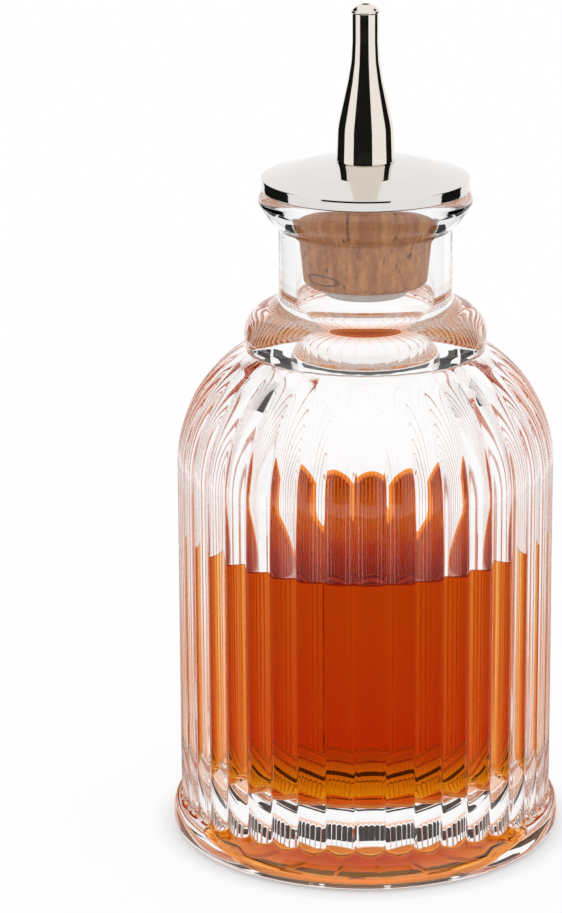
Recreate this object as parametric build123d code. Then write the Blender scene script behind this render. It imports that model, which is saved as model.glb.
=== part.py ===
"""A corked bitters bottle: a thick ribbed glass bottle, its liquid, and a metal dasher stopper.

The bottle stands on +Z. The origin is on its axis, in the plane of the ring that it stands on.
All lengths are in millimetres, and a name that ends in _Z is a height above that plane.
"""

import math
import os

from build123d import *

# Ribbed body and shoulder
RIB_COUNT = 40
CREST_R = 31.0  # radius over the crests of the ribs
RIB_FACE_R = 3.7  # radius of the round face of one rib
SHOULDER_Z = 63.3  # where the straight ribs start to bend inwards
SHOULDER_R = 22.5  # radius of that bend, over the crests

# Foot of the glass
FOOT_PROUD = 1.3  # how far the foot stands out past the crests
FOOT_LOWER_ROUND_R = 1.6
FOOT_BAND_H = 1.2  # upright band between the two rounds
FOOT_TOP_ROUND_R = 3.8
LAND_W = 8.3  # from the outside of the foot to the hollow under it
PUSH_UP_H = 1.6  # rise of that hollow

# Collar bead, neck and lip
NECK_R = 14.1
NECK_FILLET_R = 3.0  # hollow round between bead and neck
NECK_H = 16.6  # from the middle of the bead to the start of the lip
COLLAR_PROUD = 5.7  # how far the bead stands out past the neck
COLLAR_BEAD_R = 4.5  # radius of the section of the bead
COLLAR_LIFT = 0.45  # height of its middle above the curve of the shoulder
LIP_PROUD = 3.25  # how far the lip stands out past the neck
LIP_H = 7.55
LIP_FLARE_R = 12.0  # bulge of the flared side
LIP_EDGE_R = 1.2

# Inside of the glass
WALL_T = 10.2  # from the crests to the inside
FLOOR_Z = 12.0  # top of the thick base
FLOOR_CORNER_R = 4.0
CAVITY_BEND_LIFT = 2.7  # how far above the start of the shoulder the inside starts to close
CAVITY_BEND_R = 12.5
NECK_WALL_T = 2.8  # where the bore of the neck starts
BORE_LIFT = 2.1  # height of that place above the middle of the bead
BORE_TAPER = 0.4  # how much the radius grows from there to the mouth, as in a moulded bore
MOUTH_ROUND_R = 0.6

# Liquid
LIQUID_DROP = 13.95  # how far its level lies below the start of the shoulder
MENISCUS_H = 0.7  # how far the edge of the liquid climbs the glass
MENISCUS_W = 1.6

# Metal plate on the lip
PLATE_SETBACK = 0.5  # how far its edge lies inside the edge of the lip
PLATE_RIM_H = 1.9
PLATE_CROWN_R = 49.2  # radius of the domed top
PLATE_EDGE_R = 0.15

# Spout
SPOUT_R = 4.72
SPOUT_SEAM = 0.2  # broken edge at its foot, seen as a fine line
SPOUT_BELLY_IN = 0.2  # how much slimmer it is at its belly than at its foot
SPOUT_BELLY_H = 5.6
SPOUT_BELLY_ROUND_R = 10.0
SPOUT_TAPER_H = 10.6
SPOUT_WAIST_ROUND_R = 28.0
TIP_R = 2.13
TIP_H = 7.8
TIP_BEAD_PROUD = 0.17
TIP_BEAD_H = 0.5
TIP_DOME_H = 0.9
TIP_WALL = 0.8
ORIFICE_R = 0.65
SOCKET_H = 5.0  # how far the stem reaches up into the spout

# Stem, cork and washer
STEM_R = 3.0
STEM_WALL_T = 0.7
STEM_FIT = 0.05  # gap round the stem in every piece that it passes through
CORK_FIT = 0.1  # gap between cork and mouth
CORK_TAPER = 1.5  # how much slimmer its radius is at its lower end
CORK_H = 15.2
CORK_CHAMFER = 0.6
WASHER_W = 4.05  # width of its ring round the stem
WASHER_H = 2.0
WASHER_EDGE_R = 0.8

# How far a cutting shape runs past what it cuts
OVERRUN = 1.0

# Radii and heights that follow from the sizes above
RIB_MID_R = CREST_R - RIB_FACE_R
SHOULDER_MID_R = CREST_R - SHOULDER_R
SHOULDER_CORE_R = SHOULDER_R - RIB_FACE_R
FOOT_R = CREST_R + FOOT_PROUD
FOOT_H = FOOT_LOWER_ROUND_R + FOOT_BAND_H + FOOT_TOP_ROUND_R
LAND_INNER_R = FOOT_R - LAND_W
COLLAR_R = NECK_R + COLLAR_PROUD
COLLAR_MID_R = COLLAR_R - COLLAR_BEAD_R
COLLAR_RUN = COLLAR_MID_R - SHOULDER_MID_R
COLLAR_Z = SHOULDER_Z + math.sqrt(SHOULDER_R**2 - COLLAR_RUN**2) + COLLAR_LIFT
LIP_R = NECK_R + LIP_PROUD
LIP_Z = COLLAR_Z + NECK_H
MOUTH_Z = LIP_Z + LIP_H
CAVITY_R = CREST_R - WALL_T
CAVITY_BEND_Z = SHOULDER_Z + CAVITY_BEND_LIFT
BORE_R = NECK_R - NECK_WALL_T
BORE_Z = COLLAR_Z + BORE_LIFT
MOUTH_R = BORE_R + BORE_TAPER
LIQUID_Z = SHOULDER_Z - LIQUID_DROP
PLATE_R = LIP_R - PLATE_SETBACK
PLATE_RIM_Z = MOUTH_Z + PLATE_RIM_H
CROWN_Z = PLATE_RIM_Z - math.sqrt(PLATE_CROWN_R**2 - (PLATE_R - PLATE_EDGE_R) ** 2)
SPOUT_BELLY_R = SPOUT_R - SPOUT_BELLY_IN
SEAT_Z = CROWN_Z + math.sqrt(PLATE_CROWN_R**2 - SPOUT_R**2)
TIP_BEAD_R = TIP_R + TIP_BEAD_PROUD
STEM_TOP_Z = SEAT_Z + SOCKET_H
STEM_BORE_R = STEM_R - STEM_WALL_T
STEM_HOLE_R = STEM_R + STEM_FIT
CORK_R = MOUTH_R - CORK_FIT
CORK_END_R = CORK_R - CORK_TAPER
CORK_END_Z = MOUTH_Z - CORK_H
WASHER_R = STEM_HOLE_R + WASHER_W
WASHER_END_Z = CORK_END_Z - WASHER_H


def turned(*outline):
    """Turn a closed outline of (radius, height) lines about the axis of the bottle."""
    return revolve(Plane.XZ * make_face(Curve() + list(outline)), Axis.Z)


def polar(centre, radius, angle):
    """Point at a radius and an angle in degrees from a centre, in the (radius, height) plane."""
    turn = math.radians(angle)
    return centre[0] + radius * math.cos(turn), centre[1] + radius * math.sin(turn)


def arc(centre, radius, start, end):
    """Arc about a centre between two angles in degrees."""
    return ThreePointArc(*(polar(centre, radius, angle) for angle in (start, (start + end) / 2, end)))


def body_core():
    """Foot, and the plain body and shoulder that carry the ribs."""
    side = FilletPolyline(
        (LAND_INNER_R, 0),
        (FOOT_R, 0),
        (FOOT_R, FOOT_H),
        (RIB_MID_R, FOOT_H),
        (RIB_MID_R, SHOULDER_Z),
        radius=[FOOT_LOWER_ROUND_R, FOOT_TOP_ROUND_R, 0],
    )
    shoulder = arc((SHOULDER_MID_R, SHOULDER_Z), SHOULDER_CORE_R, 0, 90)
    axis = Polyline(shoulder @ 1, (0, SHOULDER_Z + SHOULDER_CORE_R), (0, PUSH_UP_H))
    push_up = TangentArc((0, PUSH_UP_H), (LAND_INNER_R, 0), tangent=(1, 0))
    return turned(side, shoulder, axis, push_up)


def collar_and_neck():
    """Collar bead that grows out of the shoulder, then a hollow round, the neck and the lip."""
    bead_centre = (COLLAR_MID_R, COLLAR_Z)
    reach = COLLAR_BEAD_R + NECK_FILLET_R
    fillet_run = NECK_R + NECK_FILLET_R - COLLAR_MID_R
    fillet_centre = (NECK_R + NECK_FILLET_R, COLLAR_Z + math.sqrt(reach**2 - fillet_run**2))
    touch = math.degrees(math.acos(fillet_run / reach))
    bead = arc(bead_centre, COLLAR_BEAD_R, -90, touch)
    fillet_round = arc(fillet_centre, NECK_FILLET_R, touch + 180, 180)
    neck = Line(fillet_round @ 1, (NECK_R, LIP_Z))
    flare = RadiusArc((NECK_R, LIP_Z), (LIP_R, MOUTH_Z - LIP_EDGE_R), -LIP_FLARE_R)
    edge = arc((LIP_R - LIP_EDGE_R, MOUTH_Z - LIP_EDGE_R), LIP_EDGE_R, 0, 90)
    inner = Polyline(edge @ 1, (0, MOUTH_Z), (0, SHOULDER_Z), (COLLAR_MID_R, SHOULDER_Z), bead @ 0)
    return turned(bead, fillet_round, neck, flare, edge, inner)


def rib():
    """One round rib on +X, up the side and over the shoulder, cut to its part of the circle."""
    bend = math.degrees(math.acos((BORE_R - SHOULDER_MID_R) / SHOULDER_R))
    start_z = FOOT_H - FOOT_TOP_ROUND_R
    straight = Line((RIB_MID_R, start_z), (RIB_MID_R, SHOULDER_Z))
    over = arc((SHOULDER_MID_R, SHOULDER_Z), SHOULDER_CORE_R, 0, bend)
    path = Plane.XZ * (straight + over)
    section = Pos(RIB_MID_R, 0, start_z) * Circle(RIB_FACE_R)
    pitch = 360 / RIB_COUNT
    height = SHOULDER_Z + SHOULDER_R + OVERRUN
    far = CREST_R + OVERRUN
    corners = [polar((0, 0), far, -pitch / 2), polar((0, 0), far, pitch / 2)]
    wedge = extrude(make_face(Polyline((0, 0), *corners, close=True)), amount=height)
    return sweep(section, path=path) & wedge


def floor_and_side(top_z):
    """Bottom and side of the inside, from the axis up to a height."""
    return FilletPolyline((0, FLOOR_Z), (CAVITY_R, FLOOR_Z), (CAVITY_R, top_z), radius=[FLOOR_CORNER_R])


def cavity():
    """Inside of the glass: two arcs join the wide body to the tapered bore of the neck."""
    rise = BORE_Z - CAVITY_BEND_Z
    bend = 2 * math.degrees(math.atan((CAVITY_R - BORE_R) / rise))
    throat_r = rise / math.sin(math.radians(bend)) - CAVITY_BEND_R
    side = floor_and_side(CAVITY_BEND_Z)
    bend_in = arc((CAVITY_R - CAVITY_BEND_R, CAVITY_BEND_Z), CAVITY_BEND_R, 0, bend)
    throat = arc((BORE_R + throat_r, BORE_Z), throat_r, 180 + bend, 180)
    bore = Line((BORE_R, BORE_Z), (MOUTH_R, MOUTH_Z - MOUTH_ROUND_R))
    mouth = arc((MOUTH_R + MOUTH_ROUND_R, MOUTH_Z - MOUTH_ROUND_R), MOUTH_ROUND_R, 180, 90)
    over = MOUTH_Z + OVERRUN
    axis = Polyline(mouth @ 1, (MOUTH_R + MOUTH_ROUND_R, over), (0, over), (0, FLOOR_Z))
    return turned(side, bend_in, throat, bore, mouth, axis)


def glass_bottle():
    """Moulded glass: core, neck and a ring of ribs, hollowed out."""
    ribs = PolarLocations(0, RIB_COUNT) * rib()
    return body_core() + [collar_and_neck(), *ribs] - cavity()


def bitters_fill():
    """Liquid that fills the bottle up to its level and climbs the glass a little at its edge."""
    side = floor_and_side(LIQUID_Z + MENISCUS_H)
    meniscus = TangentArc(
        (CAVITY_R - MENISCUS_W, LIQUID_Z), (CAVITY_R, LIQUID_Z + MENISCUS_H), tangent=(1, 0)
    )
    top = Polyline((CAVITY_R - MENISCUS_W, LIQUID_Z), (0, LIQUID_Z), (0, FLOOR_Z))
    return turned(side, meniscus, top)


def cap_plate():
    """Round metal plate with a domed top. It rests on the lip, and the spout stands on it."""
    flat_r = PLATE_R - PLATE_EDGE_R
    lower_edge = arc((flat_r, MOUTH_Z + PLATE_EDGE_R), PLATE_EDGE_R, -90, 0)
    upper_edge = arc((flat_r, PLATE_RIM_Z - PLATE_EDGE_R), PLATE_EDGE_R, 0, 90)
    crown_ends = [math.degrees(math.acos(r / PLATE_CROWN_R)) for r in (flat_r, SPOUT_R)]
    crown = arc((0, CROWN_Z), PLATE_CROWN_R, *crown_ends)
    rim = Line(lower_edge @ 1, upper_edge @ 0)
    rest = Polyline(crown @ 1, (STEM_HOLE_R, SEAT_Z), (STEM_HOLE_R, MOUTH_Z), lower_edge @ 0)
    return turned(lower_edge, rim, upper_edge, crown, rest)


def dash_spout():
    """Hollow tapered spout with a beaded, domed tip and a small hole for the dashes."""
    belly_z = SEAT_Z + SPOUT_BELLY_H
    waist_z = belly_z + SPOUT_TAPER_H
    bead_z = waist_z + TIP_H
    dome_z = bead_z + TIP_BEAD_H
    top_z = dome_z + TIP_DOME_H
    foot = Line((SPOUT_R - SPOUT_SEAM, SEAT_Z), (SPOUT_R, SEAT_Z + SPOUT_SEAM))
    side = FilletPolyline(
        (SPOUT_R, SEAT_Z + SPOUT_SEAM),
        (SPOUT_BELLY_R, belly_z),
        (TIP_R, waist_z),
        (TIP_R, bead_z),
        radius=[SPOUT_BELLY_ROUND_R, SPOUT_WAIST_ROUND_R],
    )
    bead = ThreePointArc((TIP_R, bead_z), (TIP_BEAD_R, (bead_z + dome_z) / 2), (TIP_R, dome_z))
    dome = TangentArc((ORIFICE_R, top_z), (TIP_R, dome_z), tangent=(1, 0))
    inside = Polyline(
        (ORIFICE_R, top_z),
        (ORIFICE_R, dome_z),
        (TIP_R - TIP_WALL, bead_z),
        (TIP_R - TIP_WALL, waist_z),
        (STEM_BORE_R, STEM_TOP_Z),
        (STEM_HOLE_R, STEM_TOP_Z),
        (STEM_HOLE_R, SEAT_Z),
        (SPOUT_R - SPOUT_SEAM, SEAT_Z),
    )
    return turned(foot, side, bead, dome, inside)


def stem_tube():
    """Tube that holds washer, cork, plate and spout together and carries the liquid up."""
    corners = [
        (STEM_BORE_R, WASHER_END_Z),
        (STEM_R, WASHER_END_Z),
        (STEM_R, STEM_TOP_Z),
        (STEM_BORE_R, STEM_TOP_Z),
    ]
    return turned(Polyline(*corners, close=True))


def cork_stopper():
    """Tapered cork with a hole for the stem."""
    corners = [
        (STEM_HOLE_R, CORK_END_Z),
        (CORK_END_R - CORK_CHAMFER, CORK_END_Z),
        (CORK_END_R, CORK_END_Z + CORK_CHAMFER),
        (CORK_R, MOUTH_Z),
        (STEM_HOLE_R, MOUTH_Z),
    ]
    return turned(Polyline(*corners, close=True))


def retaining_washer():
    """Washer under the cork, rounded at its lower edge."""
    outer = FilletPolyline(
        (STEM_HOLE_R, CORK_END_Z),
        (WASHER_R, CORK_END_Z),
        (WASHER_R, WASHER_END_Z),
        (STEM_HOLE_R, WASHER_END_Z),
        radius=[0, WASHER_EDGE_R],
    )
    return turned(outer, Line(outer @ 1, outer @ 0))


SUB_PARTS = {
    "glass_bottle": glass_bottle,
    "bitters_fill": bitters_fill,
    "cap_plate": cap_plate,
    "dash_spout": dash_spout,
    "stem_tube": stem_tube,
    "cork_stopper": cork_stopper,
    "retaining_washer": retaining_washer,
}

os.makedirs("parts", exist_ok=True)
for node, make in SUB_PARTS.items():
    export_step(make(), f"parts/{node}.step")
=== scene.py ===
import math

import bpy
import numpy as np
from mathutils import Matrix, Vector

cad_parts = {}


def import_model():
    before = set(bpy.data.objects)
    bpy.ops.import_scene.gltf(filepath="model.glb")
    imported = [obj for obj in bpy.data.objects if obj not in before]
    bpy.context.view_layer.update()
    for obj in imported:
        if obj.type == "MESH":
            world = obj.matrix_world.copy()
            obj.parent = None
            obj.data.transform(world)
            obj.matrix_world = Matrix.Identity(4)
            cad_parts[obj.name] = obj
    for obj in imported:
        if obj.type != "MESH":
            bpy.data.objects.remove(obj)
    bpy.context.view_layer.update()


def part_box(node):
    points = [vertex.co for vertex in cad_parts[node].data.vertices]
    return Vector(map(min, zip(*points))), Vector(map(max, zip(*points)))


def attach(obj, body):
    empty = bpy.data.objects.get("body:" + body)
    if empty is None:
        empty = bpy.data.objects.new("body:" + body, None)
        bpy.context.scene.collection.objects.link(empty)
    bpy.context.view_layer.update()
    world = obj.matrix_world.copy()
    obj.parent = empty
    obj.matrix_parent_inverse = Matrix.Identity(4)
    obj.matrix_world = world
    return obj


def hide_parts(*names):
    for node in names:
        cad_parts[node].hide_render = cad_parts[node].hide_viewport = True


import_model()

# Lengths are in millimetres, and MM turns them into metres where Blender takes them
MM = 0.001

# The floor of the inside lies a little lower than in the solids, as its edge shows in the photograph
FLOOR_DROP = 1.4

# Sizes read from the frame
glass_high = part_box("glass_bottle")[1] / MM
fill_low, fill_high = (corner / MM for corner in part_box("bitters_fill"))
plate_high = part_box("cap_plate")[1] / MM
spout_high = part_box("dash_spout")[1] / MM
stem_low, stem_high = (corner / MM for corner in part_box("stem_tube"))
cork_low, cork_high = (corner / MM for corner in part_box("cork_stopper"))
washer_low, washer_high = (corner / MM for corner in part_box("retaining_washer"))
FOOT_R, MOUTH_Z = glass_high.x, glass_high.z
CAVITY_R, FLOOR_Z, FILL_TOP_Z = fill_high.x, fill_low.z - FLOOR_DROP, fill_high.z
PLATE_R, SEAT_Z = plate_high.x, plate_high.z
SPOUT_R, SPOUT_TOP_Z = spout_high.x, spout_high.z

# Ribs and shoulder of the glass
RIB_COUNT = 40
RIB_FACE_R = 3.7
VALLEY_ROUND_R = 0.4  # small round in the valley between two ribs
FOOT_PROUD = 1.3
SHOULDER_R = 22.5
RIB_FADE_SHARE = 0.8  # how full of glass the valleys are where the ribs run into the collar
RIB_FADE_START = math.radians(25)  # lean of the ribs, as they bend over the shoulder
RIB_FADE_END = math.radians(55)
CREST_R = FOOT_R - FOOT_PROUD
SHOULDER_MID_R = CREST_R - SHOULDER_R
SHOULDER_CORE_R = SHOULDER_R - RIB_FACE_R
HALF_PITCH = math.pi / RIB_COUNT

# Foot
FOOT_LOWER_ROUND_R = 1.6
FOOT_BAND_H = 1.2
FOOT_TOP_ROUND_R = 3.8
LAND_W = 8.3
PUSH_UP_H = 1.6
FOOT_TOP_MID = (FOOT_R - FOOT_TOP_ROUND_R, FOOT_LOWER_ROUND_R + FOOT_BAND_H)

# Collar, neck and lip. The lip is less tall than in the solids, as its outline in the photograph shows
NECK_R = 14.1
NECK_FILLET_R = 3.0
NECK_H = 18.1
COLLAR_PROUD = 5.7
COLLAR_BEAD_R = 4.5
COLLAR_LIFT = 0.45
LIP_PROUD = 3.25
LIP_H = 6.05
LIP_FLARE_R = 9.0
LIP_EDGE_R = 2.0
LIP_R = NECK_R + LIP_PROUD
LIP_Z = MOUTH_Z - LIP_H
COLLAR_Z = LIP_Z - NECK_H
COLLAR_MID_R = NECK_R + COLLAR_PROUD - COLLAR_BEAD_R
SHOULDER_Z = COLLAR_Z - COLLAR_LIFT - math.sqrt(SHOULDER_R**2 - (COLLAR_MID_R - SHOULDER_MID_R) ** 2)

# Inside of the glass
FLOOR_CORNER_R = 4.0
CAVITY_BEND_LIFT = 2.7
CAVITY_BEND_R = 12.5
NECK_WALL_T = 2.8
BORE_LIFT = 2.1
BORE_TAPER = 0.4
MOUTH_ROUND_R = 0.6
CAVITY_BEND_Z = SHOULDER_Z + CAVITY_BEND_LIFT
BORE_R = NECK_R - NECK_WALL_T
BORE_Z = COLLAR_Z + BORE_LIFT
MOUTH_R = BORE_R + BORE_TAPER

# Liquid: it reaches a hair into the glass, so that no air shows between the two
FILL_OVERLAP = 0.03
MENISCUS_H = 0.7
MENISCUS_W = 1.6
WETTED_RISE = 9.0  # how far above the straight ribs the inside keeps the looks of wetted glass

# Plate, spout and stem
PLATE_RIM_H = 1.9
PLATE_CROWN_R = 49.2
PLATE_EDGE_R = 0.15
SPOUT_SEAM = 0.2
SPOUT_BELLY_IN = 0.2
SPOUT_BELLY_H = 5.6
SPOUT_BELLY_ROUND_R = 10.0
SPOUT_TAPER_H = 10.6
SPOUT_WAIST_ROUND_R = 28.0
TIP_R = 2.13
TIP_H = 7.8
TIP_BEAD_PROUD = 0.17
TIP_BEAD_H = 0.5
TIP_DOME_H = 0.9
TIP_WALL = 0.8
ORIFICE_R = 0.65
STEM_WALL_T = 0.7
STEM_FIT = 0.05
STEM_HOLE_R = stem_high.x + STEM_FIT
STEM_BORE_R = stem_high.x - STEM_WALL_T

# Cork and washer
CORK_TAPER = 1.5
CORK_CHAMFER = 0.6
WASHER_EDGE_R = 0.8

# Looks of glass and liquid. The scales of a noise are counts per metre, one for each axis
WHITE = (1, 1, 1, 1)
NO_MIRROR = (0, 0, 0, 1)  # tint that takes away what a surface mirrors head on
GLASS_IOR = 1.5
GLASS_WAVE_SCALES = (90, 90, 60)
GLASS_WAVE = 0.012
RIPPLE_SCALES = (260, 260, 700)
RIPPLE_SHARE = 0.15
LIQUID_IOR = 1.35
LIQUID_DYE = (1.0, 0.46, 0.08, 1)  # colour of the thinnest layer of liquid
LIQUID_DEPTH_DYE = (0.955, 0.855, 0, 1)
LIQUID_DENSITY = 400
LIQUID_WAVE_SCALES = (120, 120, 120)
LIQUID_WAVE = 0.01

# Looks of the plating. A range is the part of a noise that a look is stretched over
SPOUT_TONE = (0.84, 0.775, 0.69, 1)
PLATE_TONE = (0.77, 0.74, 0.715, 1)
HAZE_SCALES = (500, 500, 500)
HAZE_RANGE = (0.3, 0.7)
METAL_ROUGHNESS = (0.03, 0.08)
METAL_WAVE_SCALES = (150, 150, 220)
METAL_WAVE = 0.004

# Looks of the cork
CORK_LIGHT = (0.83, 0.35, 0.105, 1)
CORK_DARK = (0.53, 0.165, 0.04, 1)
CORK_PIT = (0.10, 0.03, 0.012, 1)
CORK_ROUGHNESS = 0.75
STREAK_SCALES = (700, 700, 90)
STREAK_SHARE = 0.6
FLECK_SCALES = (1500, 1500, 900)
FLECK_SHARE = 0.4
TONE_RANGE = (0.38, 0.62)
PIT_SCALES = (900, 900, 500)
PIT_RANGE = (0.66, 0.72)
PIT_DARKNESS = 0.9
CRACK_SCALES = (2200, 2200, 160)
CRACK_RANGE = (0.7, 0.76)
CRACK_DARKNESS = 0.6
MARK_TURN = math.radians(-42)
MARK_HALF_TURN = math.radians(16)
MARK_LIFT = 2.0
MARK_HALF_H = 0.8
MARK_LONG_POWER = 2.5  # how square the ends of the mark are
MARK_TALL_POWER = 2.0
MARK_EDGE_RANGE = (0.1, 0.5)
MARK_DARKNESS = 0.8
TONE_RELIEF_SHARE = 0.3
CORK_RELIEF = 0.12

# Looks of the washer
WASHER_LIGHT = (0.97, 0.92, 0.86, 1)
WASHER_DARK = (0.86, 0.80, 0.73, 1)
WASHER_ROUGHNESS = 0.4
MOTTLE_SCALES = (600, 600, 600)
MOTTLE_RANGE = (0.35, 0.65)
TURNING_SCALES = (300, 300, 6000)
TURNING_RELIEF = 0.02

# Fineness of the meshes
COLUMNS = 240
FACE_STEPS = 9  # across half the round face of a rib
VALLEY_STEPS = 3
SECTOR_COLUMNS = 2 * (FACE_STEPS + VALLEY_STEPS)
COARSE_SECTOR_COLUMNS = COLUMNS // RIB_COUNT
SHOULDER_STEPS = 22
BEAD_STEPS = 15
THROAT_STEPS = 12
EDGE_STEPS = 3
SEARCH_STEPS = 600
SEARCH_END = math.radians(72)  # the ribs meet the collar before they lean as far as this
ARC_STEP = math.radians(7.5)
JUNCTION = 0.45  # half width of the small hollow round where two forms of the glass meet
JUNCTION_STEPS = 4
CREASE_SHARE = 0.1  # how far outwards the crease under the lip is eased, as a share of that half width
HOLD = 0.3  # how near to its ends the smooth shading of a long straight run is held
LONG_RUN = 4 * HOLD
SAME_POINT = 1e-6  # points nearer than this are one point
SHARP_ANGLE = math.radians(40)


# Outlines, as (radius, height) points
def arc(centre, radius, start, end, steps=None):
    """Points of an arc about a centre between two angles in degrees."""
    start, end = math.radians(start), math.radians(end)
    if steps is None:
        steps = max(2, math.ceil(abs(end - start) / ARC_STEP))
    turns = np.linspace(start, end, steps + 1)
    return np.stack([centre[0] + radius * np.cos(turns), centre[1] + radius * np.sin(turns)], axis=-1)


def bow(start, end, radius):
    """Points of an arc between two points. It bulges to the right of its way if the radius is over zero."""
    start, end = np.array(start, float), np.array(end, float)
    chord = end - start
    length = np.linalg.norm(chord)
    right = np.array([chord[1], -chord[0]]) / length
    side = math.copysign(1, radius)
    centre = (start + end) / 2 - side * right * math.sqrt(radius**2 - (length / 2) ** 2)
    first = math.degrees(math.atan2(*(start - centre)[::-1]))
    half = math.degrees(math.asin(length / 2 / abs(radius)))
    return arc(centre, abs(radius), first, first + side * 2 * half)


def sagitta_radius(chord, height):
    """Radius of the arc that rises by a height over a chord."""
    return ((chord / 2) ** 2 + height**2) / (2 * height)


def rise_radius(run, height):
    """Radius of the arc that starts level and rises by a height over a run."""
    return (run**2 + height**2) / (2 * height)


def rounded(corners, radii):
    """Points of a line whose inner corners are rounded to the radii given."""
    corners = [np.array(corner, float) for corner in corners]
    points = [corners[0][None]]
    for before, corner, after, radius in zip(corners, corners[1:], corners[2:], radii):
        back = (before - corner) / np.linalg.norm(before - corner)
        ahead = (after - corner) / np.linalg.norm(after - corner)
        half = math.acos(back @ ahead) / 2
        reach = radius / math.tan(half)
        turn = 1 if back[0] * ahead[1] - back[1] * ahead[0] < 0 else -1
        points.append(bow(corner + reach * back, corner + reach * ahead, turn * radius))
    points.append(corners[-1][None])
    return np.concatenate(points)


def joined(*runs):
    """One outline from several, without points that repeat."""
    points = np.concatenate([np.atleast_2d(np.array(run, float)) for run in runs])
    apart = np.linalg.norm(np.diff(points, axis=0), axis=1) > SAME_POINT
    return points[np.concatenate([[True], apart])]


def held(rows):
    """Rows with two more in each long straight run, so that smooth shading bends only its ends."""
    made = [rows[0]]
    for before, after in zip(rows, rows[1:]):
        length = np.hypot(*(np.asarray(after) - before)[[0, -1]]).max()
        if length > LONG_RUN:
            made += [before + (after - before) * share for share in (HOLD / length, 1 - HOLD / length)]
        made.append(after)
    return made


# Meshes
def new_object(name, points, faces, material, body, node, sharp_angle=SHARP_ANGLE):
    """Object from points in millimetres. It rides on a body and stands for a CAD node."""
    mesh = bpy.data.meshes.new(name)
    mesh.from_pydata((np.asarray(points) * MM).tolist(), [], faces)
    mesh.polygons.foreach_set("use_smooth", [True] * len(mesh.polygons))
    if sharp_angle is not None:
        mesh.set_sharp_from_angle(angle=sharp_angle)
    mesh.materials.append(material)
    piece = bpy.data.objects.new(name, mesh)
    bpy.context.scene.collection.objects.link(piece)
    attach(piece, body)
    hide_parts(node)
    return piece


def spun(outline):
    """Points and faces of an outline turned about the axis, closed where it starts or ends there.

    An outline that starts away from the axis is joined end to start as a ring.
    """
    turns = np.arange(COLUMNS) * 2 * math.pi / COLUMNS
    points, rows = [], []
    for radius, height in held(outline):
        if radius < SAME_POINT:
            rows.append([len(points)])
            points.append((0, 0, height))
        else:
            rows.append(list(range(len(points), len(points) + COLUMNS)))
            points += [(radius * math.cos(t), radius * math.sin(t), height) for t in turns]
    if len(rows[0]) > 1:
        rows.append(rows[0])
    return points, [face for low, high in zip(rows, rows[1:]) for face in band(low, high)]


def turned(name, outline, material, body, node):
    """Piece turned about the axis."""
    points, faces = spun(outline)
    return new_object(name, points, faces, material, body, node)


def band(low, high):
    """Faces between two rings of points.

    One ring may be a single point on the axis, or have several times the points of the other.
    """
    if len(low) == 1:
        return [(low[0], b, a) for a, b in zip(high, high[1:] + high[:1])]
    if len(high) == 1:
        return [(a, b, high[0]) for a, b in zip(low, low[1:] + low[:1])]
    faces = []
    count = min(len(low), len(high))
    low_step, high_step = len(low) // count, len(high) // count
    for i in range(count):
        lows = [low[(i * low_step + k) % len(low)] for k in range(low_step + 1)]
        highs = [high[(i * high_step + k) % len(high)] for k in range(high_step + 1)]
        faces.append((*lows, *highs[::-1]))
    return faces


# Ribbed outside of the glass
def rib_section(tilt):
    """Half a rib from crest to valley, as offsets (outwards, sideways) from the middle of its section.

    The section leans by an angle, as on the shoulder. A small round fills the valley to the next rib.
    """
    mid_r = SHOULDER_MID_R + SHOULDER_CORE_R * math.cos(tilt)
    slope = math.cos(tilt) * math.tan(HALF_PITCH)
    lift = mid_r * math.tan(HALF_PITCH)
    reach = RIB_FACE_R + VALLEY_ROUND_R
    out = (math.sqrt(reach**2 * (1 + slope**2) - lift**2) - lift * slope) / (1 + slope**2)
    side = lift + slope * out
    touch = math.atan2(side, out)
    face = np.linspace(0, touch, FACE_STEPS + 1)
    valley = np.linspace(touch + math.pi, math.pi + math.atan(slope), VALLEY_STEPS + 1)[1:]
    outwards = [*RIB_FACE_R * np.cos(face), *out + VALLEY_ROUND_R * np.cos(valley)]
    sideways = [*RIB_FACE_R * np.sin(face), *side + VALLEY_ROUND_R * np.sin(valley)]
    return np.array(outwards), np.array(sideways)


def rib_ring(tilt):
    """Points across one rib at a lean of its section, as rows of radius, angle and height."""
    outwards, sideways = rib_section(tilt)
    outwards = np.concatenate([outwards[:0:-1], outwards[:-1]])
    sideways = np.concatenate([-sideways[:0:-1], sideways[:-1]])
    x = SHOULDER_MID_R + SHOULDER_CORE_R * math.cos(tilt) + outwards * math.cos(tilt)
    z = SHOULDER_Z + SHOULDER_CORE_R * math.sin(tilt) + outwards * math.sin(tilt)
    return np.stack([np.hypot(x, sideways), np.arctan2(sideways, x), z])


def even_turns(count):
    """Evenly spaced angles across one rib."""
    return np.linspace(-HALF_PITCH, HALF_PITCH, count, endpoint=False)


def junction(before, corner, after):
    """Rows of a small hollow round from one point to another, led by the corner between them."""
    shares = np.linspace(0, 1, JUNCTION_STEPS + 1)[:, None, None]
    return (1 - shares) ** 2 * before + 2 * shares * (1 - shares) * corner + shares**2 * after


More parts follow.
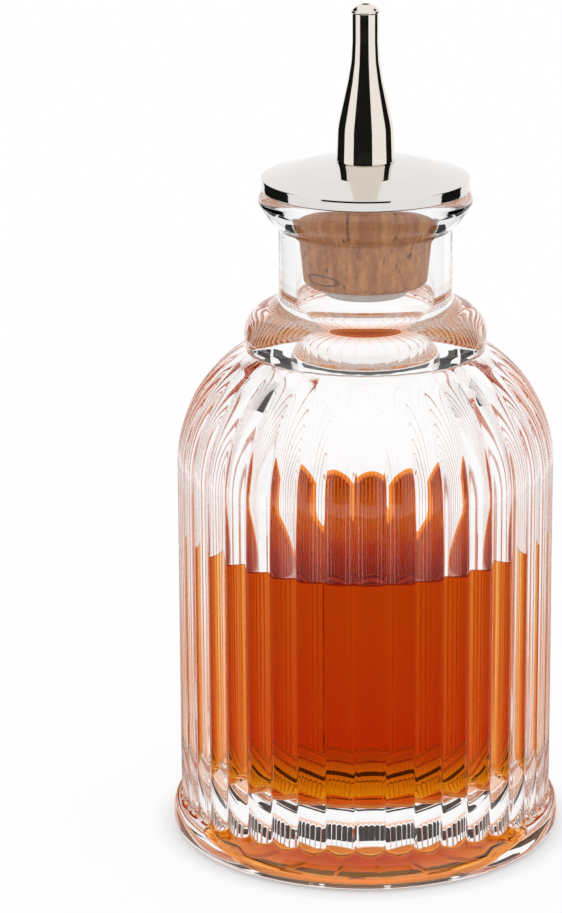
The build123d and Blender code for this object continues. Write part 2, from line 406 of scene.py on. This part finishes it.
def foot_rows():
    """Rows of the foot, from the ring that it stands on to the ribs."""
    radius, turn, _ = rib_ring(0)
    even = even_turns(SECTOR_COLUMNS)
    rows = []
    lower_mid = (FOOT_R - FOOT_LOWER_ROUND_R, FOOT_LOWER_ROUND_R)
    lower = arc(lower_mid, FOOT_LOWER_ROUND_R, -90, 0)
    for share, (r, z) in zip(np.linspace(0, 1, len(lower)), lower):
        gathered = even + share * (turn - even)
        rows.append(np.stack([np.full_like(turn, r), gathered, np.full_like(turn, z)]))
    mid_r, mid_z = FOOT_TOP_MID
    meet = np.arccos((radius - mid_r) / FOOT_TOP_ROUND_R)
    stop = meet - JUNCTION / FOOT_TOP_ROUND_R
    for share in np.linspace(0, 1, math.ceil(stop.max() / ARC_STEP)):
        lean = share * stop
        r, z = mid_r + FOOT_TOP_ROUND_R * np.cos(lean), mid_z + FOOT_TOP_ROUND_R * np.sin(lean)
        rows.append(np.stack([r, turn, z]))
    corner_z = mid_z + FOOT_TOP_ROUND_R * np.sin(meet)
    corner = np.stack([radius, turn, corner_z])
    above = np.stack([radius, turn, corner_z + JUNCTION])
    rows += list(junction(rows[-1], corner, above)[1:])
    return rows


def shoulder_rows():
    """Rows up the ribs and over the shoulder to the collar bead, then over the bead to the neck.

    The ribs are followed in small steps of their lean, so that the lean where each column dips into
    the bead can be read off.
    """
    radius, turn, _ = rib_ring(0)
    tilts = np.linspace(0, SEARCH_END, SEARCH_STEPS)
    rings = np.stack([rib_ring(tilt) for tilt in tilts])
    crest_r = rings.max(axis=2)[:, [0]]
    crest_z = rings[:, 2, [SECTOR_COLUMNS // 2]]
    way = np.clip((tilts - RIB_FADE_START) / (RIB_FADE_END - RIB_FADE_START), 0, 1)
    fade = RIB_FADE_SHARE * way[:, None]
    rings[:, 2] += fade * (crest_z - rings[:, 2])
    rings[:, 0] += fade * (crest_r - rings[:, 0])
    gap = np.hypot(rings[:, 0] - COLLAR_MID_R, rings[:, 2] - COLLAR_Z) - COLLAR_BEAD_R
    inside = np.argmax(gap < 0, axis=0)
    column = np.arange(SECTOR_COLUMNS)
    before, after = gap[inside - 1, column], gap[inside, column]
    meet = tilts[inside - 1] + before / (before - after) * (tilts[1] - tilts[0])

    def on_ribs(leans):
        return np.stack([[np.interp(lean, tilts, rings[:, axis, i]) for i, lean in enumerate(leans)]
                         for axis in range(3)])

    rows = [np.stack([radius, turn, np.full_like(turn, SHOULDER_Z)])]
    stop = meet - JUNCTION / SHOULDER_R
    rows += [on_ribs(share * stop) for share in np.linspace(0, 1, SHOULDER_STEPS + 1)[1:]]
    corner = on_ribs(meet)
    start = np.arctan2(corner[2] - COLLAR_Z, corner[0] - COLLAR_MID_R) + JUNCTION / COLLAR_BEAD_R
    fillet_run = NECK_R + NECK_FILLET_R - COLLAR_MID_R
    reach = COLLAR_BEAD_R + NECK_FILLET_R
    touch = math.acos(fillet_run / reach)
    even = even_turns(SECTOR_COLUMNS)
    bead = []
    for share in np.linspace(0, 1, BEAD_STEPS + 1):
        lean = start + share * (touch - start)
        r, z = COLLAR_MID_R + COLLAR_BEAD_R * np.cos(lean), COLLAR_Z + COLLAR_BEAD_R * np.sin(lean)
        bead.append(np.stack([r, corner[1] + share * (even - corner[1]), z]))
    rows += list(junction(rows[-1], corner, bead[0])[1:])
    rows += bead[1:]
    fillet_mid = (NECK_R + NECK_FILLET_R, COLLAR_Z + math.sqrt(reach**2 - fillet_run**2))
    for r, z in arc(fillet_mid, NECK_FILLET_R, math.degrees(touch) + 180, 180)[1:]:
        rows.append(np.stack([np.full_like(even, r), even, np.full_like(even, z)]))
    return rows


def neck_and_inside():
    """Outline from the neck over the lip and down the inside to the middle of the floor."""
    flare = bow((NECK_R, LIP_Z), (LIP_R, MOUTH_Z - LIP_EDGE_R), LIP_FLARE_R)
    crease = [(NECK_R, LIP_Z - JUNCTION), (NECK_R + CREASE_SHARE * JUNCTION, LIP_Z), flare[1]]
    edge = arc((LIP_R - LIP_EDGE_R, MOUTH_Z - LIP_EDGE_R), LIP_EDGE_R, 0, 90)
    mouth = arc((MOUTH_R + MOUTH_ROUND_R, MOUTH_Z - MOUTH_ROUND_R), MOUTH_ROUND_R, 90, 180)
    rise = BORE_Z - CAVITY_BEND_Z
    bend = 2 * math.degrees(math.atan((CAVITY_R - BORE_R) / rise))
    throat_r = rise / math.sin(math.radians(bend)) - CAVITY_BEND_R
    throat = arc((BORE_R + throat_r, BORE_Z), throat_r, 180, 180 + bend, THROAT_STEPS)
    shoulder = arc((CAVITY_R - CAVITY_BEND_R, CAVITY_BEND_Z), CAVITY_BEND_R, bend, 0, THROAT_STEPS)
    floor = rounded([(CAVITY_R, FILL_TOP_Z), (CAVITY_R, FLOOR_Z), (0, FLOOR_Z)], [FLOOR_CORNER_R])
    neck_mid = (NECK_R, COLLAR_Z + NECK_H / 2)
    return joined(neck_mid, *crease, flare[1:], edge, mouth, throat, shoulder, floor)


def underside():
    """Outline under the foot, from the middle of the hollow to the inner edge of the ring it stands on."""
    land_inner = FOOT_R - LAND_W
    push_up = bow((0, PUSH_UP_H), (land_inner, 0), -rise_radius(land_inner, PUSH_UP_H))
    return joined(push_up, (FOOT_R - FOOT_LOWER_ROUND_R, 0))[:-1]


def glass_bottle():
    """Whole glass as one closed mesh, with fine columns on the ribs and coarser ones elsewhere.

    The inside has its own material, from its floor up into the shoulder.
    """
    points, rings = [], []

    def add_ring(radius, turn, z):
        first = len(points)
        for sector in range(RIB_COUNT):
            angle = turn + sector * 2 * HALF_PITCH
            points.extend(np.stack([radius * np.cos(angle), radius * np.sin(angle), z], axis=-1))
        rings.append(list(range(first, len(points))))

    def add_pole(z):
        rings.append([len(points)])
        points.append(np.array([0, 0, z]))

    even = even_turns(COARSE_SECTOR_COLUMNS)

    def add_outline(outline):
        for r, z in held(outline):
            add_ring(np.full_like(even, r), even, np.full_like(even, z))

    under = underside()
    inside = neck_and_inside()
    add_pole(under[0][1])
    add_outline(under[1:])
    for row in held(foot_rows() + shoulder_rows()):
        add_ring(*row)
    add_outline(inside[:-1])
    add_pole(inside[-1][1])
    faces = [face for low, high in zip(rings, rings[1:]) for face in band(low, high)]
    piece = new_object("glass", points, faces, clear_glass(), "bottle", "glass_bottle", None)
    piece.data.materials.append(wetted_glass())
    for face in piece.data.polygons:
        x, y, z = face.center / MM
        is_inside = math.hypot(x, y) < CAVITY_R + FILL_OVERLAP
        if is_inside and FLOOR_Z - FILL_OVERLAP < z < SHOULDER_Z + WETTED_RISE:
            face.material_index = 1
    return piece


# Turned pieces
def liquid():
    """Liquid up to its level, with an edge that climbs the glass."""
    side_r = CAVITY_R + FILL_OVERLAP
    floor_z = FLOOR_Z - FILL_OVERLAP
    level = FILL_TOP_Z - MENISCUS_H
    rim = (side_r, FILL_TOP_Z)
    meniscus = bow((CAVITY_R - MENISCUS_W, level), rim, rise_radius(MENISCUS_W, MENISCUS_H))[::-1]
    side = rounded([(0, floor_z), (side_r, floor_z), rim], [FLOOR_CORNER_R])
    outline = joined(side, meniscus, (0, level))
    return turned("liquid", outline, bitters(), "bottle", "bitters_fill")


def plate(metal):
    """Plate on the lip: upright rim, tiny broken edges and a low dome."""
    flat_r = PLATE_R - PLATE_EDGE_R
    rim_z = MOUTH_Z + PLATE_RIM_H
    lower_edge = arc((flat_r, MOUTH_Z + PLATE_EDGE_R), PLATE_EDGE_R, -90, 0, EDGE_STEPS)
    upper_edge = arc((flat_r, rim_z - PLATE_EDGE_R), PLATE_EDGE_R, 0, 90, EDGE_STEPS)
    crown = bow((flat_r, rim_z), (SPOUT_R, SEAT_Z), PLATE_CROWN_R)
    outline = joined((STEM_HOLE_R, MOUTH_Z), lower_edge, upper_edge, crown, (STEM_HOLE_R, SEAT_Z))
    return turned("plate", outline, metal, "stopper", "cap_plate")


def spout(metal):
    """Hollow tapered spout with a beaded, domed tip."""
    belly_z = SEAT_Z + SPOUT_BELLY_H
    waist_z = belly_z + SPOUT_TAPER_H
    bead_z = waist_z + TIP_H
    dome_z = bead_z + TIP_BEAD_H
    foot = (SPOUT_R, SEAT_Z + SPOUT_SEAM)
    corners = [foot, (SPOUT_R - SPOUT_BELLY_IN, belly_z), (TIP_R, waist_z), (TIP_R, bead_z)]
    side = rounded(corners, [SPOUT_BELLY_ROUND_R, SPOUT_WAIST_ROUND_R])
    bead = bow((TIP_R, bead_z), (TIP_R, dome_z), sagitta_radius(TIP_BEAD_H, TIP_BEAD_PROUD))
    dome = bow((TIP_R, dome_z), (ORIFICE_R, SPOUT_TOP_Z), rise_radius(TIP_R - ORIFICE_R, TIP_DOME_H))
    inner_r = TIP_R - TIP_WALL
    bore = [(ORIFICE_R, dome_z), (inner_r, bead_z), (inner_r, waist_z), (STEM_BORE_R, stem_high.z)]
    socket = [(STEM_HOLE_R, stem_high.z), (STEM_HOLE_R, SEAT_Z)]
    outline = joined((SPOUT_R - SPOUT_SEAM, SEAT_Z), side, bead, dome, bore, socket)
    return turned("spout", outline, metal, "stopper", "dash_spout")


def stem(metal):
    """Tube through cork and washer."""
    low_z, high_z = stem_low.z, stem_high.z
    outer = [(stem_high.x, low_z), (stem_high.x, high_z)]
    outline = joined((STEM_BORE_R, low_z), outer, (STEM_BORE_R, high_z))
    return turned("stem", outline, metal, "stopper", "stem_tube")


def cork():
    """Tapered cork with a chamfered lower edge."""
    end_r = cork_high.x - CORK_TAPER
    low_z, high_z = cork_low.z, cork_high.z
    side = [(end_r - CORK_CHAMFER, low_z), (end_r, low_z + CORK_CHAMFER), (cork_high.x, high_z)]
    outline = joined((STEM_HOLE_R, low_z), side, (STEM_HOLE_R, high_z))
    return turned("cork", outline, natural_cork(), "stopper", "cork_stopper")


def washer():
    """Washer under the cork, rounded at its lower edge."""
    radius, low_z, high_z = washer_high.x, washer_low.z, washer_high.z
    side = rounded([(STEM_HOLE_R, low_z), (radius, low_z), (radius, high_z)], [WASHER_EDGE_R])
    outline = joined(side, (STEM_HOLE_R, high_z))
    return turned("washer", outline, washer_plastic(), "stopper", "retaining_washer")


# Materials
def new_material(name, values):
    """Material with a Principled shader that has the values given, its node tree and that shader."""
    material = bpy.data.materials.new(name)
    material.use_nodes = True
    shader = material.node_tree.nodes["Principled BSDF"]
    for key, value in values.items():
        shader.inputs[key].default_value = value
    return material, material.node_tree, shader


def add(tree, kind, inputs, **settings):
    """New node with its settings and inputs. An input is a value or an output of another node."""
    node = tree.nodes.new("ShaderNode" + kind)
    for key, value in settings.items():
        setattr(node, key, value)
    for key, value in inputs.items():
        if isinstance(value, bpy.types.NodeSocket):
            tree.links.new(value, node.inputs[key])
        else:
            node.inputs[key].default_value = value
    return node


def calc(tree, operation, a, b=0.0):
    """Output of a maths node."""
    return add(tree, "Math", {0: a, 1: b}, operation=operation).outputs[0]


def grain(tree, scales, detail=2.0):
    """Noise from 0 to 1 over the object, with one scale per metre for each axis."""
    place = add(tree, "TexCoord", {}).outputs["Object"]
    stretched = add(tree, "Mapping", {"Vector": place, "Scale": scales}).outputs["Vector"]
    return add(tree, "TexNoise", {"Vector": stretched, "Scale": 1.0, "Detail": detail}).outputs["Fac"]


def ramp(tree, value, low, high, first, last):
    """Value carried from one range to another, and held at its ends."""
    inputs = {"Value": value, "From Min": low, "From Max": high, "To Min": first, "To Max": last}
    return add(tree, "MapRange", inputs).outputs["Result"]


def blend(tree, factor, first, second):
    """Mix of two colours."""
    inputs = {"Factor": factor, 6: first, 7: second}
    return add(tree, "Mix", inputs, data_type="RGBA").outputs[2]


def relief(tree, shader, height, depth):
    """Bumps on a surface. A height of 1 stands for a depth in millimetres."""
    bump = add(tree, "Bump", {"Height": height, "Strength": 1.0, "Distance": depth * MM})
    tree.links.new(bump.outputs["Normal"], shader.inputs["Normal"])


GLASS = {"Base Color": WHITE, "Roughness": 0, "IOR": GLASS_IOR, "Transmission Weight": 1}


def clear_glass():
    """Thick moulded glass. It is a little wavy, with finer ripples that run round it."""
    material, tree, shader = new_material("clear_glass", GLASS)
    wave = grain(tree, GLASS_WAVE_SCALES)
    ripple = calc(tree, "MULTIPLY", grain(tree, RIPPLE_SCALES), RIPPLE_SHARE)
    relief(tree, shader, calc(tree, "ADD", wave, ripple), GLASS_WAVE)
    return material


def wetted_glass():
    """Inside of the glass that mirrors nothing head on.

    Glass that liquid touches is like that. The dry wall above the liquid isn't, and has these looks only
    so that no pale image of the floor lies over the surface of the liquid.
    """
    material, tree, shader = new_material("wetted_glass", {**GLASS, "Specular Tint": NO_MIRROR})
    relief(tree, shader, grain(tree, GLASS_WAVE_SCALES), GLASS_WAVE)
    return material


def bitters():
    """Clear liquid with a faint ripple, orange in a thin layer and redder in a deep one."""
    dye = {"Base Color": LIQUID_DYE, "IOR": LIQUID_IOR, "Specular Tint": NO_MIRROR}
    material, tree, shader = new_material("bitters", {**GLASS, **dye})
    relief(tree, shader, grain(tree, LIQUID_WAVE_SCALES), LIQUID_WAVE)
    depth = add(tree, "VolumeAbsorption", {"Color": LIQUID_DEPTH_DYE, "Density": LIQUID_DENSITY})
    tree.links.new(depth.outputs["Volume"], tree.nodes["Material Output"].inputs["Volume"])
    return material


def plated_metal(name, tone):
    """Polished plating, with a roughness that drifts and very shallow waves."""
    material, tree, shader = new_material(name, {"Base Color": tone, "Metallic": 1})
    haze = grain(tree, HAZE_SCALES, detail=4.0)
    tree.links.new(ramp(tree, haze, *HAZE_RANGE, *METAL_ROUGHNESS), shader.inputs["Roughness"])
    relief(tree, shader, grain(tree, METAL_WAVE_SCALES), METAL_WAVE)
    return material


def oval_mark(tree):
    """Darkness of one long oval line on the cork, near its lower edge at the front left."""
    place = add(tree, "TexCoord", {}).outputs["Object"]
    axes = add(tree, "SeparateXYZ", {"Vector": place}).outputs
    turn = calc(tree, "ARCTAN2", axes["X"], calc(tree, "MULTIPLY", axes["Y"], -1.0))
    along = calc(tree, "DIVIDE", calc(tree, "SUBTRACT", turn, MARK_TURN), MARK_HALF_TURN)
    mark_z = (cork_low.z + MARK_LIFT) * MM
    up = calc(tree, "DIVIDE", calc(tree, "SUBTRACT", axes["Z"], mark_z), MARK_HALF_H * MM)
    along = calc(tree, "POWER", calc(tree, "ABSOLUTE", along), MARK_LONG_POWER)
    up = calc(tree, "POWER", calc(tree, "ABSOLUTE", up), MARK_TALL_POWER)
    off_line = calc(tree, "ABSOLUTE", calc(tree, "SUBTRACT", calc(tree, "ADD", along, up), 1.0))
    return ramp(tree, off_line, *MARK_EDGE_RANGE, MARK_DARKNESS, 0.0)


def natural_cork():
    """Cork with upright grain, flecks, dark pits and cracks, and one long mark."""
    material, tree, shader = new_material("natural_cork", {"Roughness": CORK_ROUGHNESS})
    streaks = calc(tree, "MULTIPLY", grain(tree, STREAK_SCALES, detail=4.0), STREAK_SHARE)
    flecks = calc(tree, "MULTIPLY", grain(tree, FLECK_SCALES, detail=5.0), FLECK_SHARE)
    tone = ramp(tree, calc(tree, "ADD", streaks, flecks), *TONE_RANGE, 0.0, 1.0)
    pit = ramp(tree, grain(tree, PIT_SCALES, detail=3.0), *PIT_RANGE, 0.0, PIT_DARKNESS)
    crack = ramp(tree, grain(tree, CRACK_SCALES, detail=1.0), *CRACK_RANGE, 0.0, CRACK_DARKNESS)
    dark = calc(tree, "MAXIMUM", calc(tree, "MAXIMUM", pit, crack), oval_mark(tree))
    colour = blend(tree, dark, blend(tree, tone, CORK_DARK, CORK_LIGHT), CORK_PIT)
    tree.links.new(colour, shader.inputs["Base Color"])
    height = calc(tree, "SUBTRACT", calc(tree, "MULTIPLY", tone, TONE_RELIEF_SHARE), dark)
    relief(tree, shader, height, CORK_RELIEF)
    return material


def washer_plastic():
    """Pale satin plastic with a faint mottle and turning marks."""
    material, tree, shader = new_material("washer_plastic", {"Roughness": WASHER_ROUGHNESS})
    mottle = ramp(tree, grain(tree, MOTTLE_SCALES, detail=4.0), *MOTTLE_RANGE, 0.0, 1.0)
    tree.links.new(blend(tree, mottle, WASHER_DARK, WASHER_LIGHT), shader.inputs["Base Color"])
    relief(tree, shader, grain(tree, TURNING_SCALES), TURNING_RELIEF)
    return material


# Camera, as fitted to the photograph
CAMERA_DISTANCE = 620.61
CAMERA_HEIGHT = 257.78
CAMERA_PITCH = math.radians(17.3455)
CAMERA_AZIMUTH = math.radians(-1.5)
IMAGE_HEIGHT = 913  # in pixels, as is the focal length
FOCAL_PIXELS = 3945.49
SENSOR = 36.0
AXIS_SHIFT_SHARE = -0.0925
CLIP_START = 1
CLIP_END = 1e5

# Floor. Radii are distances from the axis of the bottle
FLOOR_SHADE = 0.95
FLOOR_REACH = 3000
FLOOR_GAP = 0.05  # hair of air between the floor and the ring that the bottle stands on
GLOW_SHARE = 0.9
GLOW_START_R = 28
GLOW_FULL_R = 36
PAINTED_UNDER_LIGHT_SHARE = 0.45  # painted light under the bottle: a glow for gloss and glass in place of light through the bottle
PAINTED_CAUSTIC_COLOUR = (1.0, 0.46, 0.22, 1)  # painted caustic: glow colour for light that the liquid has coloured on its way to the floor
PAINTED_CAUSTIC_UNDER = 0.5
PAINTED_UNDER_INNER_R = 32
PAINTED_UNDER_FULL_R = 37
PAINTED_CAUSTIC_BACK = 7  # how far behind the axis the middle of the painted caustic lies
PAINTED_CAUSTIC_START_R = 35
PAINTED_CAUSTIC_END_R = 110

# Dark ring on the floor and dark cards
MATT = {"Roughness": 1, "Specular IOR Level": 0}
APRON_SHADE = 0.04
APRON_REACH = math.radians(150)
APRON_INNER_R = 40
APRON_OUTER_R = 240
APRON_LIFT = 0.5
APRON_STEPS = 48
CARD_STEPS = 24
CARDS = (  # name, distance, azimuths from the camera's side, heights, shade, what sees it
    ("card_left", 300, (-146, -92), (1, 400), 0.01, "gloss"),
    ("card_right", 300, (90, 127), (1, 400), 0.01, "gloss"),
    ("card_front", 560, (-48, 27), (1, 300), 0.01, "gloss"),
    ("card_back", 1500, (157, 203), (405, 775), 0.06, "glass"),
    ("card_back_right", 1500, (100, 150), (500, 1200), 0.05, "glass"),
    ("card_back_left", 1500, (210, 260), (500, 1200), 0.05, "glass"),
)


def camera():
    """Camera at the photograph's place."""
    data = bpy.data.cameras.new("camera")
    data.sensor_width = SENSOR
    data.lens = FOCAL_PIXELS / IMAGE_HEIGHT * SENSOR
    data.shift_x = AXIS_SHIFT_SHARE
    data.clip_start, data.clip_end = CLIP_START * MM, CLIP_END * MM
    view = bpy.data.objects.new("camera", data)
    side, back = math.sin(CAMERA_AZIMUTH), -math.cos(CAMERA_AZIMUTH)
    view.location = (CAMERA_DISTANCE * side * MM, CAMERA_DISTANCE * back * MM, CAMERA_HEIGHT * MM)
    view.rotation_euler = (math.pi / 2 - CAMERA_PITCH, 0, CAMERA_AZIMUTH)
    bpy.context.scene.collection.objects.link(view)
    bpy.context.scene.camera = view


def world():
    """Even white light from all sides."""
    made = bpy.data.worlds.new("studio")
    bpy.context.scene.world = made
    made.use_nodes = True
    made.node_tree.nodes["Background"].inputs["Color"].default_value = WHITE
    made.node_tree.nodes["Background"].inputs["Strength"].default_value = 1


def matt(name, shade):
    """Matt grey material, its node tree and its shader."""
    return new_material(name, {"Base Color": (shade, shade, shade, 1), **MATT})


def stage_sheet(name, points, faces, material):
    """Sheet of the stage, from points in millimetres."""
    mesh = bpy.data.meshes.new(name)
    mesh.from_pydata([[value * MM for value in point] for point in points], [], faces)
    mesh.materials.append(material)
    sheet = bpy.data.objects.new(name, mesh)
    bpy.context.scene.collection.objects.link(sheet)
    return sheet


def floor():
    """White floor that keeps shadows. It glows white, and for gloss and glass it has painted light: a
    weaker glow under the bottle and a painted salmon caustic behind it.
    """
    material, tree, shader = matt("floor", FLOOR_SHADE)
    place = add(tree, "TexCoord", {}).outputs["Object"]
    distance = add(tree, "VectorMath", {0: place}, operation="LENGTH").outputs["Value"]
    path = add(tree, "LightPath", {}).outputs
    through = calc(tree, "MAXIMUM", path["Is Glossy Ray"], path["Is Transmission Ray"])
    seen = calc(tree, "MAXIMUM", path["Is Camera Ray"], through)
    open_glow = ramp(tree, distance, GLOW_START_R * MM, GLOW_FULL_R * MM, 0, GLOW_SHARE)
    # Painted light: under the bottle the floor glows at part strength for gloss and glass, in place of
    # light that comes through the bottle
    painted_under_light = ramp(tree, distance, PAINTED_UNDER_INNER_R * MM, PAINTED_UNDER_FULL_R * MM, PAINTED_UNDER_LIGHT_SHARE, GLOW_SHARE)
    painted_under_light = calc(tree, "MULTIPLY", through, painted_under_light)
    share = calc(tree, "MULTIPLY", seen, calc(tree, "MAXIMUM", open_glow, painted_under_light))
    # Painted caustic: a salmon glow behind the bottle for gloss and glass, in place of light that the
    # liquid colours on its way to the floor
    caustic_middle = {0: place, 1: (0, PAINTED_CAUSTIC_BACK * MM, 0)}
    off_caustic = add(tree, "VectorMath", caustic_middle, operation="DISTANCE").outputs["Value"]
    painted_caustic_share = calc(tree, "MULTIPLY", ramp(tree, distance, PAINTED_UNDER_INNER_R * MM, PAINTED_UNDER_FULL_R * MM, PAINTED_CAUSTIC_UNDER, 1),
                ramp(tree, off_caustic, PAINTED_CAUSTIC_START_R * MM, PAINTED_CAUSTIC_END_R * MM, 1, 0))
    painted_caustic_share = calc(tree, "MULTIPLY", painted_caustic_share, through)
    glow_and_painted_caustic = add(tree, "Emission", {"Color": blend(tree, painted_caustic_share, WHITE, PAINTED_CAUSTIC_COLOUR)})
    shaders = {"Fac": share, 1: shader.outputs["BSDF"], 2: glow_and_painted_caustic.outputs["Emission"]}
    mix = add(tree, "MixShader", shaders)
    tree.links.new(mix.outputs["Shader"], tree.nodes["Material Output"].inputs["Surface"])
    signs = ((-1, -1), (1, -1), (1, 1), (-1, 1))
    corners = [(x * FLOOR_REACH, y * FLOOR_REACH, -FLOOR_GAP) for x, y in signs]
    stage_sheet("floor", corners, [range(len(corners))], material)


def apron():
    """Dark ring sector on the floor. Only gloss sees it, so that the glass shows no white veil."""
    turns = np.linspace(-APRON_REACH, APRON_REACH, APRON_STEPS + 1)
    outer = [(APRON_OUTER_R * math.sin(t), -APRON_OUTER_R * math.cos(t), APRON_LIFT) for t in turns]
    inner = [(APRON_INNER_R * math.sin(t), -APRON_INNER_R * math.cos(t), APRON_LIFT) for t in turns[::-1]]
    corners = outer + inner
    sheet = stage_sheet("apron", corners, [range(len(corners))], matt("apron", APRON_SHADE)[0])
    sheet.visible_camera = sheet.visible_diffuse = sheet.visible_shadow = False
    sheet.visible_transmission = False


def card(name, distance, azimuths, heights, shade, seen_by):
    """Upright dark card round the object. Only gloss sees it, or only what comes through glass."""
    turns = np.linspace(*np.radians(azimuths), CARD_STEPS + 1) + CAMERA_AZIMUTH
    points = [(distance * math.sin(t), -distance * math.cos(t), z) for z in heights for t in turns]
    count = len(turns)
    faces = [(i, i + 1, count + i + 1, count + i) for i in range(count - 1)]
    sheet = stage_sheet(name, points, faces, matt(name, shade)[0])
    sheet.visible_camera = sheet.visible_diffuse = sheet.visible_shadow = False
    sheet.visible_glossy = seen_by == "gloss"
    sheet.visible_transmission = seen_by == "glass"


camera()
world()
floor()
apron()
for values in CARDS:
    card(*values)

spout_metal = plated_metal("spout_metal", SPOUT_TONE)
glass_bottle()
liquid()
plate(plated_metal("plate_metal", PLATE_TONE))
spout(spout_metal)
stem(spout_metal)
cork()
washer()

# A ray passes many walls of glass before it leaves the bottle
scene = bpy.context.scene
scene.view_settings.view_transform = "Standard"
scene.cycles.max_bounces = 32
scene.cycles.transmission_bounces = 24
scene.cycles.glossy_bounces = 12
